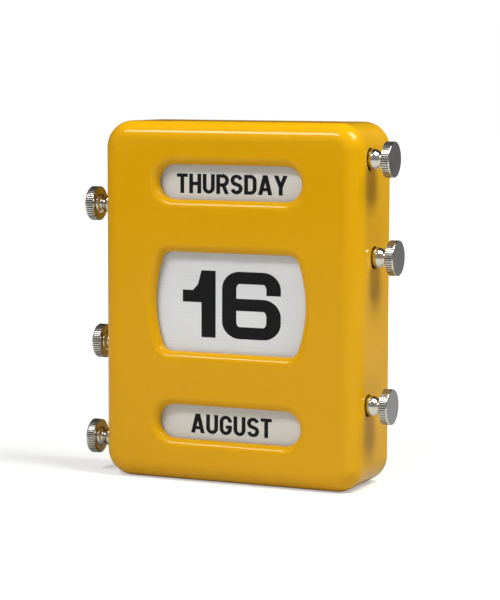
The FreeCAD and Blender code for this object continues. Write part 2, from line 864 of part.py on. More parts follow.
def make_knob(window, part):
    """A thumb knob along +X: a neck that enters the case, a waist, and a straight-knurled head."""
    wall = "case_width / 2"
    bore = "thread_radius + running_gap"
    bore_end = "knob_seat + thread_length + thread_relief"
    inner_face = wall + " + knob_reach - knob_thickness"
    outer_face = wall + " + knob_reach"
    knob = turned("%s_%s_knob" % (window, part), [
        ("knob_seat", bore),
        ("knob_seat", "neck_radius"),
        (wall + " + neck_straight", "neck_radius"),
        (wall + " + waist_reach", "waist_radius"),
        (inner_face, "root_radius"),
        (inner_face, "knob_radius - knob_chamfer"),
        (inner_face + " + knob_chamfer", "knob_radius"),
        (outer_face + " - knob_chamfer", "knob_radius"),
        (outer_face, "knob_radius - knob_chamfer"),
        (outer_face, "0"),
        (bore_end, "0"),
        (bore_end, bore),
    ])
    waist = value(wall + " + waist_reach")
    shoulder = value(wall + " + neck_straight")
    fillet(knob, "waist_fillet", lambda box: near(box.XMin, waist) and near(box.XMax, waist))
    fillet(knob, "neck_fillet", lambda box: near(box.XMin, shoulder) and near(box.XMax, shoulder))
    groove = new_sketch(knob, "YZ_Plane", inner_face)
    half = "knob_radius * sin(180 / knurl_count) * 0.8"
    polygon(groove, [
        ("knob_radius - knurl_depth", "0"),
        ("knob_radius + knurl_depth", half),
        ("knob_radius + knurl_depth", "-(%s)" % half),
    ])
    cut = pocket(knob, groove, "knob_thickness - knob_rim", True)
    knurl = knob.newObject("PartDesign::PolarPattern", knob.Name + "_knurl")
    knurl.Originals = [cut]
    knurl.Axis = ([item for item in knob.Origin.OriginFeatures if item.Role == "X_Axis"][0], [""])
    knurl.Angle = FULL_TURN
    bind(knurl, Occurrences="knurl_count")
    knob.Tip = knurl
    doc.recompute()
    return knob


def make_roller(window, part):
    y, z = roller_place(window, part)
    turn = 0 if part == "upper" else 180
    for make, piece in ((make_shaft, "shaft"), (make_core, "core"), (make_knob, "knob")):
        item = make(window, part)
        place(item, "0", y, z, turn)
        keep(item, "%s_%s_%s" % (window, part, piece))


def main():
    fill_sheet()
    make_front_shell()
    make_corner_posts()
    make_back_plate()
    make_back_screws()
    right_plate = make_right_bearing_plate()
    make_left_bearing_plate(right_plate)
    make_shaft_bushes()
    make_drag_washers()
    make_tie_rods()
    make_tie_rod_screws()
    for window in WINDOWS:
        make_platen(window)
        make_band(window)
    for window, part in ROLLERS:
        make_roller(window, part)
    doc.recompute()
    for item in doc.Objects:
        if "Invalid" in item.State or "Error" in item.State:
            raise RuntimeError("%s failed: %s" % (item.Label, item.State))
    for item in nodes:
        if item.Shape.isNull() or not item.Shape.isValid() or not item.Shape.Solids:
            raise RuntimeError(item.Label + " has no valid solid")
    os.makedirs("parts", exist_ok=True)
    for item in nodes:
        item.Shape.exportStep("parts/%s.step" % item.Label)
        print("%-24s %2d solids %12.1f mm3" % (item.Label, len(item.Shape.Solids), item.Shape.Volume))


main()
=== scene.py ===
import json
import math

import bmesh
import bpy
from mathutils import Matrix, Vector
from mathutils.geometry import delaunay_2d_cdt, tessellate_polygon


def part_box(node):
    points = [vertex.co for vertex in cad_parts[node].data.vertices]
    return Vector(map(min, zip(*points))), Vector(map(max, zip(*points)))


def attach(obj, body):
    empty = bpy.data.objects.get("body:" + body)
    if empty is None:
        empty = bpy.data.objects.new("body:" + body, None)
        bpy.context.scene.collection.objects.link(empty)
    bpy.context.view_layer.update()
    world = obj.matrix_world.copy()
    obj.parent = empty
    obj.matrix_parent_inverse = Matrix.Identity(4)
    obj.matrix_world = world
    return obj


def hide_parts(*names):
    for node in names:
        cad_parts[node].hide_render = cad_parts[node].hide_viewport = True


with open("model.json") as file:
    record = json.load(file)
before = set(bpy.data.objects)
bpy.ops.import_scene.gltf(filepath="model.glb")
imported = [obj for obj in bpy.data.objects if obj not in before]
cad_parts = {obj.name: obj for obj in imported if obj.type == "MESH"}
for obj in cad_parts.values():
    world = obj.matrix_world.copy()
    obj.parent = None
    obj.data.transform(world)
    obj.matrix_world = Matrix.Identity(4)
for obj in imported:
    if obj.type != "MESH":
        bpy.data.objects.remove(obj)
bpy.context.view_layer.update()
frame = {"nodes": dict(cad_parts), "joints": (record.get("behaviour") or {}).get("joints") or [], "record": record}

# Sizes are in metres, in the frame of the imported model: +X to the right, +Y to the back, +Z up.
MM = 0.001
CASE_LOW, CASE_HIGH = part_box("front_shell")
FRONT_Y, BACK_Y = CASE_LOW[1], CASE_HIGH[1]
CASE_WIDTH = CASE_HIGH[0] - CASE_LOW[0]
CASE_HEIGHT = CASE_HIGH[2] - CASE_LOW[2]
MIDDLE_Z = (CASE_HIGH[2] + CASE_LOW[2]) / 2
WALL = 1.2 * MM
CORNER_RADIUS = 12.5 * MM
EDGE_RADIUS = 8.5 * MM
RIM_BEVEL = 0.35 * MM
WINDOWS = ("day", "date", "month")
SIDE_OF_PART = {"upper": 1, "lower": -1}
WINDOW_Z = {"day": MIDDLE_Z + 55 * MM, "date": MIDDLE_Z + 0.3 * MM, "month": MIDDLE_Z - 55 * MM}
STRIP_WINDOW = (70 * MM, 15.7 * MM)
DATE_WINDOW = (74.2 * MM, 45.5 * MM)
DATE_SIDE_RADIUS = 57 * MM
DATE_CORNER_RADIUS = 5 * MM
LIP_RADIUS = 4 * MM
LIP_STRAIGHT = 0.2 * MM
NECK_HOLE_RADIUS = 5.15 * MM
HOLE_STEPS = 64
DRILL_REACH = 3 * WALL
ARC_STEPS = 14
CORNER_STEPS = 18


# Mesh helpers


def mesh_object(name, vertices, faces, material, smooth=True):
    mesh = bpy.data.meshes.new(name)
    mesh.from_pydata([tuple(v) for v in vertices], [], faces)
    mesh.validate()
    mesh.update()
    for polygon in mesh.polygons:
        polygon.use_smooth = smooth
    item = bpy.data.objects.new(name, mesh)
    bpy.context.scene.collection.objects.link(item)
    mesh.materials.append(material)
    return item


def tidy_normals(item):
    """Merge doubles and point every face outwards."""
    work = bmesh.new()
    work.from_mesh(item.data)
    bmesh.ops.remove_doubles(work, verts=work.verts, dist=1e-6)
    bmesh.ops.recalc_face_normals(work, faces=work.faces)
    work.to_mesh(item.data)
    work.free()


def make_plain(item):
    """Replace the object's mesh by its modifiers' result."""
    graph = bpy.context.evaluated_depsgraph_get()
    graph.update()
    result = bpy.data.meshes.new_from_object(item.evaluated_get(graph))
    item.modifiers.clear()
    item.data = result


def weighted_normals(item, angle=40):
    """Keep flat faces flat and rounds smooth, with an edge only where the surface really turns."""
    for polygon in item.data.polygons:
        polygon.use_smooth = True
    item.data.set_sharp_from_angle(angle=math.radians(angle))
    modifier = item.modifiers.new("even_shading", "WEIGHTED_NORMAL")
    modifier.keep_sharp = True
    modifier.weight = 100
    make_plain(item)


class Skin:
    """Vertices and faces of one closed surface, gathered loop by loop."""

    def __init__(self):
        self.vertices = []
        self.faces = []

    def loop(self, points):
        start = len(self.vertices)
        self.vertices.extend(points)
        return list(range(start, start + len(points)))

    def bridge(self, first, second):
        count = len(first)
        for index in range(count):
            after = (index + 1) % count
            self.faces.append((first[index], first[after], second[after], second[index]))

    def bridge_all(self, loops):
        for first, second in zip(loops, loops[1:]):
            self.bridge(first, second)

    def fill(self, outer, holes=()):
        """A flat face with holes between loops that lie in one plane."""
        loops = [outer, *holes]
        flat = [index for loop in loops for index in loop]
        points = [[Vector((self.vertices[i][0], self.vertices[i][2], 0)) for i in loop] for loop in loops]
        for triangle in tessellate_polygon(points):
            self.faces.append(tuple(flat[corner] for corner in triangle))


def arc(centre, radius, start, end, steps):
    """Points of an arc in the front plane, as pairs across and up, both ends included."""
    points = []
    for step in range(steps + 1):
        angle = start + (end - start) * step / steps
        points.append((centre[0] + radius * math.cos(angle), centre[1] + radius * math.sin(angle)))
    return points


QUARTER = math.pi / 2


def rounded_rectangle(width, height, radius):
    points = []
    for turn, (across, up) in enumerate(((1, 1), (-1, 1), (-1, -1), (1, -1))):
        centre = (across * (width / 2 - radius), up * (height / 2 - radius))
        points += arc(centre, radius, turn * QUARTER, (turn + 1) * QUARTER, CORNER_STEPS)
    return points


def round_ended(grow):
    width, height = STRIP_WINDOW
    reach = (width - height) / 2
    radius = height / 2 + grow
    right = arc((reach, 0), radius, -QUARTER, QUARTER, 2 * CORNER_STEPS)
    left = arc((-reach, 0), radius, QUARTER, 3 * QUARTER, 2 * CORNER_STEPS)
    return right + left


def bow_sided(grow):
    """Straight top and bottom, sides that bow outwards, and rounded corners."""
    width, height = DATE_WINDOW
    shift = DATE_SIDE_RADIUS - width / 2
    up = height / 2 - DATE_CORNER_RADIUS
    reach = math.sqrt((DATE_SIDE_RADIUS - DATE_CORNER_RADIUS) ** 2 - up ** 2)
    swing = math.atan2(up, reach)
    side = DATE_SIDE_RADIUS + grow
    corner = DATE_CORNER_RADIUS + grow
    across = reach - shift
    points = []
    for turn in (0, math.pi):
        flip = math.cos(turn)
        points += arc((-shift * flip, 0), side, turn - swing, turn + swing, ARC_STEPS)
        points += arc((across * flip, up * flip), corner, turn + swing, turn + QUARTER, CORNER_STEPS)[1:]
        points += arc((-across * flip, up * flip), corner, turn + QUARTER,
                      turn + math.pi - swing, CORNER_STEPS)[:-1]
    return points


def window_loop(window, grow):
    return bow_sided(grow) if window == "date" else round_ended(grow)


def at(points, y, z=0.0):
    return [(across, y, up + z) for across, up in points]


# Shader groups that several materials share


def group_with(name, inputs, outputs):
    tree = bpy.data.node_groups.new(name, "ShaderNodeTree")
    for label, kind, default in inputs:
        socket = tree.interface.new_socket(label, in_out="INPUT", socket_type=kind)
        if default is not None:
            socket.default_value = default
    for label, kind in outputs:
        tree.interface.new_socket(label, in_out="OUTPUT", socket_type=kind)
    return tree, tree.nodes.new("NodeGroupInput"), tree.nodes.new("NodeGroupOutput")


FLOAT, COLOUR, VECTOR = "NodeSocketFloat", "NodeSocketColor", "NodeSocketVector"


def add_node(tree, kind, **properties):
    made = tree.nodes.new(kind)
    for key, value in properties.items():
        setattr(made, key, value)
    return made


def node(tree, kind, **properties):
    return add_node(tree, "ShaderNode" + kind, **properties)


def noise(tree, scale, detail=2.0, roughness=0.5, vector=None):
    made = node(tree, "TexNoise")
    made.inputs["Scale"].default_value = scale
    made.inputs["Detail"].default_value = detail
    made.inputs["Roughness"].default_value = roughness
    if vector:
        tree.links.new(vector, made.inputs["Vector"])
    return made


def fade(tree, source, start, end, low, high, kind="LINEAR"):
    """Map a value between start and end to one between low and high."""
    made = node(tree, "MapRange", interpolation_type=kind)
    for label, level in (("From Min", start), ("From Max", end), ("To Min", low), ("To Max", high)):
        made.inputs[label].default_value = level
    tree.links.new(source, made.inputs["Value"])
    return made


NOISE_MIDDLE = (0.3, 0.7)


def make_soft_variation():
    """Slow drift of brightness over a surface, for any colour."""
    tree, source, sink = group_with(
        "soft_variation",
        [("Color", COLOUR, (0.5, 0.5, 0.5, 1)), ("Scale", FLOAT, 20.0), ("Amount", FLOAT, 0.05)],
        [("Color", COLOUR)])
    place = node(tree, "TexCoord")
    wave = noise(tree, 20.0, 3.0, 0.55, place.outputs["Object"])
    tree.links.new(source.outputs["Scale"], wave.inputs["Scale"])
    centred = node(tree, "Math", operation="SUBTRACT")
    tree.links.new(wave.outputs["Fac"], centred.inputs[0])
    centred.inputs[1].default_value = 0.5
    sized = node(tree, "Math", operation="MULTIPLY_ADD")
    tree.links.new(centred.outputs[0], sized.inputs[0])
    tree.links.new(source.outputs["Amount"], sized.inputs[1])
    sized.inputs[2].default_value = 1.0
    scaled = node(tree, "VectorMath", operation="SCALE")
    tree.links.new(source.outputs["Color"], scaled.inputs[0])
    tree.links.new(sized.outputs[0], scaled.inputs["Scale"])
    tree.links.new(scaled.outputs[0], sink.inputs["Color"])
    return tree


def make_fine_marks():
    """Smudges that vary roughness, and a fine height for a bump."""
    tree, source, sink = group_with(
        "fine_marks",
        [("Roughness", FLOAT, 0.2), ("Spread", FLOAT, 0.05), ("Scale", FLOAT, 60.0),
         ("Grain", FLOAT, 900.0)],
        [("Roughness", FLOAT), ("Height", FLOAT)])
    place = node(tree, "TexCoord")
    smudge = noise(tree, 60.0, 4.0, 0.6, place.outputs["Object"])
    tree.links.new(source.outputs["Scale"], smudge.inputs["Scale"])
    level = fade(tree, smudge.outputs["Fac"], *NOISE_MIDDLE, 0.0, 1.0)
    for operation, label in (("SUBTRACT", "To Min"), ("ADD", "To Max")):
        limit = node(tree, "Math", operation=operation)
        tree.links.new(source.outputs["Roughness"], limit.inputs[0])
        tree.links.new(source.outputs["Spread"], limit.inputs[1])
        tree.links.new(limit.outputs[0], level.inputs[label])
    tree.links.new(level.outputs["Result"], sink.inputs["Roughness"])
    grain = noise(tree, 900.0, 2.0, 0.5, place.outputs["Object"])
    tree.links.new(source.outputs["Grain"], grain.inputs["Scale"])
    tree.links.new(grain.outputs["Fac"], sink.inputs["Height"])
    return tree


SOFT_VARIATION = make_soft_variation()
FINE_MARKS = make_fine_marks()


def use(tree, group, **values):
    made = tree.nodes.new("ShaderNodeGroup")
    made.node_tree = group
    for key, value in values.items():
        made.inputs[key].default_value = value
    return made


def material_with(name, colour, roughness, metallic, variation=0.05, variation_scale=20.0,
                  marks=0.05, mark_scale=60.0, grain=900.0, bump=0.02, bump_distance=0.0001):
    """A material with drifting colour, uneven roughness and a fine bump."""
    material = bpy.data.materials.new(name)
    material.use_nodes = True
    tree = material.node_tree
    shader = tree.nodes["Principled BSDF"]
    shader.inputs["Metallic"].default_value = metallic
    tint = use(tree, SOFT_VARIATION, Color=(*colour, 1), Scale=variation_scale, Amount=variation)
    tree.links.new(tint.outputs["Color"], shader.inputs["Base Color"])
    finish = use(tree, FINE_MARKS, Roughness=roughness, Spread=marks, Scale=mark_scale, Grain=grain)
    tree.links.new(finish.outputs["Roughness"], shader.inputs["Roughness"])
    relief = node(tree, "Bump")
    relief.inputs["Strength"].default_value = bump
    relief.inputs["Distance"].default_value = bump_distance
    tree.links.new(finish.outputs["Height"], relief.inputs["Height"])
    tree.links.new(relief.outputs["Normal"], shader.inputs["Normal"])
    return material


def shader_of(material):
    return material.node_tree.nodes["Principled BSDF"]


def make_enamel():
    """Glossy stoved enamel with the faint orange peel of a sprayed coat."""
    material = material_with("yellow_enamel", (0.655, 0.325, 0.002), 0.12, 0.0, variation=0.05,
                             variation_scale=9.0, marks=0.03, mark_scale=35.0, grain=260.0,
                             bump=0.05, bump_distance=0.0002)
    shader_of(material).inputs["Specular IOR Level"].default_value = 0.18
    return material


THREAD_SCALE = (60.0, 60.0, 2200.0)
THREAD_SHADE = (0.95, 0.95, 0.95, 1)
THREAD_RANGE = (0.3, 0.62)


def make_band_paper(name, tint):
    """Coated band with faint threads across it."""
    material = material_with(name, tint, 0.6, 0.0, variation=0.03, variation_scale=60.0, marks=0.05,
                             grain=1500.0, bump=0.1)
    shader_of(material).inputs["Specular IOR Level"].default_value = 0.2
    tree = material.node_tree
    place = node(tree, "TexCoord")
    stretch = node(tree, "Mapping")
    stretch.inputs["Scale"].default_value = THREAD_SCALE
    tree.links.new(place.outputs["Object"], stretch.inputs["Vector"])
    threads = noise(tree, 1.0, 1.0, 0.5, stretch.outputs["Vector"])
    shade = use(tree, SOFT_VARIATION, Color=(*tint, 1), Scale=60.0, Amount=0.03)
    darker = node(tree, "Mix", data_type="RGBA", blend_type="MULTIPLY")
    darker.inputs[0].default_value = 1.0
    tree.links.new(shade.outputs["Color"], darker.inputs[6])
    ramp = node(tree, "ValToRGB")
    ramp.color_ramp.elements[0].color = THREAD_SHADE
    for element, position in zip(ramp.color_ramp.elements, THREAD_RANGE):
        element.position = position
    tree.links.new(threads.outputs["Fac"], ramp.inputs["Fac"])
    tree.links.new(ramp.outputs["Color"], darker.inputs[7])
    tree.links.new(darker.outputs[2], shader_of(material).inputs["Base Color"])
    return material


ENAMEL = make_enamel()
PAPER = make_band_paper("date_paper", (0.70, 0.70, 0.725))
STRIP_PAPER = make_band_paper("strip_paper", (0.66, 0.64, 0.615))
INK = material_with("band_ink", (0.008, 0.008, 0.009), 0.5, 0.0, variation=0.4, variation_scale=300.0,
                    marks=0.08, grain=1500.0, bump=0.05)
shader_of(INK).inputs["Specular IOR Level"].default_value = 0.12
NICKEL = material_with("nickel_plate", (0.64, 0.61, 0.56), 0.11, 1.0, variation=0.06,
                       variation_scale=150.0, marks=0.05, mark_scale=220.0, grain=2500.0, bump=0.03)
NICKEL_FACE = material_with("nickel_face", (0.62, 0.61, 0.59), 0.3, 1.0, variation=0.05,
                            variation_scale=150.0, marks=0.04, mark_scale=220.0, grain=4000.0, bump=0.08)
# Rib lands: a rougher copy of the nickel whose colour is made brighter than the nickel as painted light on the
# knurl.
NICKEL_RIB_PAINTED_BRIGHT = material_with("nickel_rib", (0.74, 0.72, 0.68), 0.34, 1.0, variation=0.06,
                           variation_scale=150.0, marks=0.05, mark_scale=220.0, grain=2500.0)
# Near-black metal for the knurl's flanks and root: painted shade in the grooves between the ribs.
KNURL_PAINTED_SHADE = material_with("knurl_groove", (0.035, 0.033, 0.03), 0.4, 1.0, variation=0.1,
                       variation_scale=300.0, marks=0.06, mark_scale=300.0)
STEEL = material_with("bright_steel", (0.56, 0.56, 0.55), 0.28, 1.0)
ZINC = material_with("zinc_plate", (0.60, 0.62, 0.64), 0.38, 1.0, variation=0.18, variation_scale=110.0,
                     marks=0.1, mark_scale=90.0)
ALUMINIUM = material_with("turned_aluminium", (0.72, 0.72, 0.72), 0.33, 1.0)
BRASS = material_with("bush_brass", (0.72, 0.52, 0.22), 0.3, 1.0)

FINISH_OF_SLOT = {
    "yellow_enamel": ENAMEL,
    "printed_band": PAPER,
    "nickel_plate": NICKEL,
    "bright_steel": STEEL,
    "zinc_plated_steel": ZINC,
    "aluminium_core": ALUMINIUM,
    "brass": BRASS,
}


def dress_cad_nodes():
    """Every CAD node gets the finish of its slot."""
    for entry in frame["record"]["subparts"]:
        item = frame["nodes"][entry["node"]]
        finish = FINISH_OF_SLOT[entry["material_slot"]]
        if entry["node"] in ("day_band", "month_band"):
            finish = STRIP_PAPER
        item.data.materials.clear()
        item.data.materials.append(finish)


# Case


def case_loop(inset, y):
    """The case's outline drawn in by an inset, at a depth."""
    outline = rounded_rectangle(CASE_WIDTH - 2 * inset, CASE_HEIGHT - 2 * inset, CORNER_RADIUS - inset)
    return at(outline, y, MIDDLE_Z)


def make_case():
    """The pressed case: outer and inner skins joined at the rear rim and at the rolled window edges."""
    skin = Skin()
    outer = []
    for step in range(ARC_STEPS + 1):
        angle = QUARTER * step / ARC_STEPS
        outer.append(skin.loop(case_loop(EDGE_RADIUS * (1 - math.sin(angle)),
                                         FRONT_Y + EDGE_RADIUS * (1 - math.cos(angle)))))
    outer.append(skin.loop(case_loop(0, BACK_Y - RIM_BEVEL)))
    outer.append(skin.loop(case_loop(RIM_BEVEL, BACK_Y)))
    inner_radius = EDGE_RADIUS - WALL
    outer.append(skin.loop(case_loop(WALL, BACK_Y)))
    inner = []
    for step in range(ARC_STEPS + 1):
        angle = QUARTER * (1 - step / ARC_STEPS)
        inner.append(skin.loop(case_loop(WALL + inner_radius * (1 - math.sin(angle)),
                                         FRONT_Y + WALL + inner_radius * (1 - math.cos(angle)))))
    skin.bridge_all(outer + inner)
    fronts, backs = [], []
    for window in WINDOWS:
        rings = []
        z = WINDOW_Z[window]
        for step in range(ARC_STEPS + 1):
            angle = QUARTER * step / ARC_STEPS
            rings.append(at(window_loop(window, LIP_RADIUS * (1 - math.sin(angle))),
                            FRONT_Y + LIP_RADIUS * (1 - math.cos(angle)), z))
        end_y = FRONT_Y + LIP_RADIUS + LIP_STRAIGHT
        rings.append(at(window_loop(window, 0), end_y, z))
        rings.append(at(window_loop(window, WALL), end_y, z))
        for step in range(ARC_STEPS + 1):
            angle = QUARTER * (1 - step / ARC_STEPS)
            roll = LIP_RADIUS - WALL
            rings.append(at(window_loop(window, WALL + roll * (1 - math.sin(angle))),
                            FRONT_Y + WALL + roll * (1 - math.cos(angle)), z))
        loops = [skin.loop(ring) for ring in rings]
        skin.bridge_all(loops)
        fronts.append(loops[0])
        backs.append(loops[-1])
    skin.fill(outer[0], fronts)
    skin.fill(inner[-1], backs)
    case = mesh_object("enamelled_case", skin.vertices, skin.faces, ENAMEL)
    tidy_normals(case)
    cut_side_holes(case)
    weighted_normals(case)
    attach(case, "case")
    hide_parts("front_shell")


def joint_place(window, part):
    """A roller's axis, from the joint that turns it."""
    wanted = "%s_%s_turn" % (window, part)
    return [joint["pos_m"] for joint in frame["joints"] if joint["name"] == wanted][0]


def lathe_along_x(profile, steps, origin, side):
    """Turn pairs along and radius, measured out from the case's side, about the X axis.

    Side 1 points it to the right and -1 to the left.
    """
    skin = Skin()
    loops = []
    for along, radius in profile:
        ring = []
        for step in range(steps):
            angle = 2 * math.pi * step / steps
            ring.append((side * (CASE_WIDTH / 2 + along), origin[1] + radius * math.cos(angle),
                         origin[2] + radius * math.sin(angle)))
        loops.append(skin.loop(ring))
    skin.bridge_all(loops)
    skin.faces.append(tuple(loops[0]))
    skin.faces.append(tuple(loops[-1]))
    return skin


def cut_side_holes(case):
    profile = [(-DRILL_REACH, NECK_HOLE_RADIUS), (DRILL_REACH, NECK_HOLE_RADIUS)]
    for window in WINDOWS:
        for part, side in SIDE_OF_PART.items():
            skin = lathe_along_x(profile, HOLE_STEPS, joint_place(window, part), side)
            drill = mesh_object("drill", skin.vertices, skin.faces, ENAMEL)
            tidy_normals(drill)
            modifier = case.modifiers.new("hole", "BOOLEAN")
            modifier.operation = "DIFFERENCE"
            modifier.solver = "EXACT"
            modifier.object = drill
            make_plain(case)
            bpy.data.objects.remove(drill)


# Knobs: lengths are measured out from the case's side


KNOB_RADIUS = 8.0 * MM
KNOB_REACH = 11.5 * MM
KNOB_THICKNESS = 4.0 * MM
KNURL_ROOT = 7.55 * MM
KNURL_COUNT = 48
KNURL_BASE = 0.92 * MM
KNURL_LAND = 0.5 * MM
SMOOTH_RIM = 0.7 * MM
NECK_RADIUS = 4.65 * MM
NECK_INSIDE = -5.9 * MM
NECK_MOUTH = 4.2 * MM
BEAD_REACH = 2.0 * MM
THREAD_BORE = 2.1 * MM
WAIST_RADIUS = 3.2 * MM
WAIST_REACH = 5.5 * MM
ROOT_RADIUS = 4.4 * MM
FACE_EDGE = 0.3 * MM
HEAD_ROUND = 0.25 * MM
EDGE_STEPS = 6
WAIST_STEPS = 12
KNOB_STEPS = 110
RIB_INSET = 0.2 * MM
RIB_SINK = 0.01 * MM
FACE_RINGS = (0.8, 0.6, 0.4, 0.2, 0.06)
FACE_NEAR = 0.01 * MM
ROOT_NEAR = 0.02 * MM
LAND_FACING = 0.9
END_FACING = 0.5


def easing(start, end, steps):
    """Pairs that leave the start level and reach the end level, in an S-shaped curve."""
    pairs = []
    for step in range(1, steps + 1):
        share = step / steps
        blend = 0.5 - 0.5 * math.cos(math.pi * share)
        pairs.append((start[0] + (end[0] - start[0]) * share, start[1] + (end[1] - start[1]) * blend))
    return pairs


def knob_profile():
    """Half section of the knob as pairs along and radius, from the neck's end to the face's middle."""
    inner_face = KNOB_REACH - KNOB_THICKNESS
    rim = KNOB_REACH - SMOOTH_RIM
    bead = (BEAD_REACH, NECK_RADIUS)
    waist = (WAIST_REACH, WAIST_RADIUS)
    root = (inner_face, ROOT_RADIUS)
    neck = [(NECK_INSIDE, THREAD_BORE), (NECK_INSIDE, NECK_MOUTH), (-WALL, NECK_MOUTH)]
    neck += easing(neck[-1], bead, WAIST_STEPS)[2:]
    neck += easing(bead, waist, WAIST_STEPS) + easing(waist, root, WAIST_STEPS)
    head = [
        (inner_face, ROOT_RADIUS + HEAD_ROUND),
        (inner_face, KNURL_ROOT - HEAD_ROUND),
        (inner_face + HEAD_ROUND / 3, KNURL_ROOT - HEAD_ROUND / 3),
        (inner_face + HEAD_ROUND, KNURL_ROOT),
        (rim - HEAD_ROUND, KNURL_ROOT),
        (rim - HEAD_ROUND / 3, KNOB_RADIUS - HEAD_ROUND / 3),
        (rim, KNOB_RADIUS),
    ]
    for step in range(EDGE_STEPS + 1):
        angle = QUARTER * step / EDGE_STEPS
        head.append((KNOB_REACH - FACE_EDGE * (1 - math.sin(angle)),
                     KNOB_RADIUS - FACE_EDGE * (1 - math.cos(angle))))
    face = [(KNOB_REACH, KNOB_RADIUS * share) for share in FACE_RINGS]
    return neck + head + face


def make_knurl_tree():
    """Ribs round a disc: one bar with sloping flanks, copied about the X axis."""
    tree = bpy.data.node_groups.new("knurl_ribs", "GeometryNodeTree")
    face = tree.interface
    face.new_socket("Geometry", in_out="INPUT", socket_type="NodeSocketGeometry")
    wanted = (("Count", "NodeSocketInt", KNURL_COUNT), ("Radius", FLOAT, KNURL_ROOT),
              ("Length", FLOAT, KNOB_THICKNESS), ("Base", FLOAT, KNURL_BASE), ("Land", FLOAT, KNURL_LAND),
              ("Height", FLOAT, KNOB_RADIUS - KNURL_ROOT - RIB_SINK))
    for label, kind, default in wanted:
        face.new_socket(label, in_out="INPUT", socket_type=kind).default_value = default
    face.new_socket("Centre", in_out="INPUT", socket_type=VECTOR)
    face.new_socket("Material", in_out="INPUT", socket_type="NodeSocketMaterial")
    face.new_socket("Geometry", in_out="OUTPUT", socket_type="NodeSocketGeometry")
    source = tree.nodes.new("NodeGroupInput")
    sink = tree.nodes.new("NodeGroupOutput")

    def add(kind, **properties):
        return add_node(tree, kind, **properties)

    link = tree.links.new
    lift = add("ShaderNodeMath", operation="MULTIPLY_ADD")
    lift.inputs[1].default_value = 0.5
    link(source.outputs["Height"], lift.inputs[0])
    link(source.outputs["Radius"], lift.inputs[2])
    ring = add("GeometryNodeMeshCircle", fill_type="NONE")
    link(source.outputs["Count"], ring.inputs["Vertices"])
    link(lift.outputs[0], ring.inputs["Radius"])
    section = add("GeometryNodeCurvePrimitiveQuadrilateral", mode="TRAPEZOID")
    section.inputs["Offset"].default_value = 0.0
    link(source.outputs["Base"], section.inputs["Bottom Width"])
    link(source.outputs["Land"], section.inputs["Top Width"])
    link(source.outputs["Height"], section.inputs["Height"])
    upright = add("GeometryNodeTransform")
    upright.inputs["Rotation"].default_value = (0, 0, -QUARTER)
    link(section.outputs["Curve"], upright.inputs["Geometry"])
    line = add("GeometryNodeCurvePrimitiveLine")
    for share, end in ((0.5, "End"), (-0.5, "Start")):
        half = add("ShaderNodeMath", operation="MULTIPLY")
        half.inputs[1].default_value = share
        link(source.outputs["Length"], half.inputs[0])
        place = add("ShaderNodeCombineXYZ")
        link(half.outputs[0], place.inputs["Z"])
        link(place.outputs[0], line.inputs[end])
    rib = add("GeometryNodeCurveToMesh")
    rib.inputs["Fill Caps"].default_value = True
    link(line.outputs["Curve"], rib.inputs["Curve"])
    link(upright.outputs["Geometry"], rib.inputs["Profile Curve"])
    index = add("GeometryNodeInputIndex")
    step = add("ShaderNodeMath", operation="DIVIDE")
    step.inputs[0].default_value = 2 * math.pi
    link(source.outputs["Count"], step.inputs[1])
    angle = add("ShaderNodeMath", operation="MULTIPLY")
    link(index.outputs["Index"], angle.inputs[0])
    link(step.outputs[0], angle.inputs[1])
    turn = add("ShaderNodeCombineXYZ")
    link(angle.outputs[0], turn.inputs["Z"])
    copies = add("GeometryNodeInstanceOnPoints")
    link(ring.outputs["Mesh"], copies.inputs["Points"])
    link(rib.outputs["Mesh"], copies.inputs["Instance"])
    link(turn.outputs["Vector"], copies.inputs["Rotation"])
    standing = add("GeometryNodeTransform")
    standing.inputs["Rotation"].default_value = (0, QUARTER, 0)
    link(copies.outputs["Instances"], standing.inputs["Geometry"])
    moved = add("GeometryNodeTransform")
    link(standing.outputs["Geometry"], moved.inputs["Geometry"])
    link(source.outputs["Centre"], moved.inputs["Translation"])
    real = add("GeometryNodeRealizeInstances")
    link(moved.outputs["Geometry"], real.inputs["Geometry"])
    painted = add("GeometryNodeSetMaterial")
    link(real.outputs["Geometry"], painted.inputs["Geometry"])
    link(source.outputs["Material"], painted.inputs["Material"])
    link(painted.outputs["Geometry"], sink.inputs["Geometry"])
    return tree


KNURL_TREE = make_knurl_tree()


def set_inputs(modifier, values):
    """Set a tree's inputs by their sockets' identifiers."""
    for item in modifier.node_group.interface.items_tree:
        if item.item_type == "SOCKET" and item.in_out == "INPUT" and item.name in values:
            modifier[item.identifier] = values[item.name]


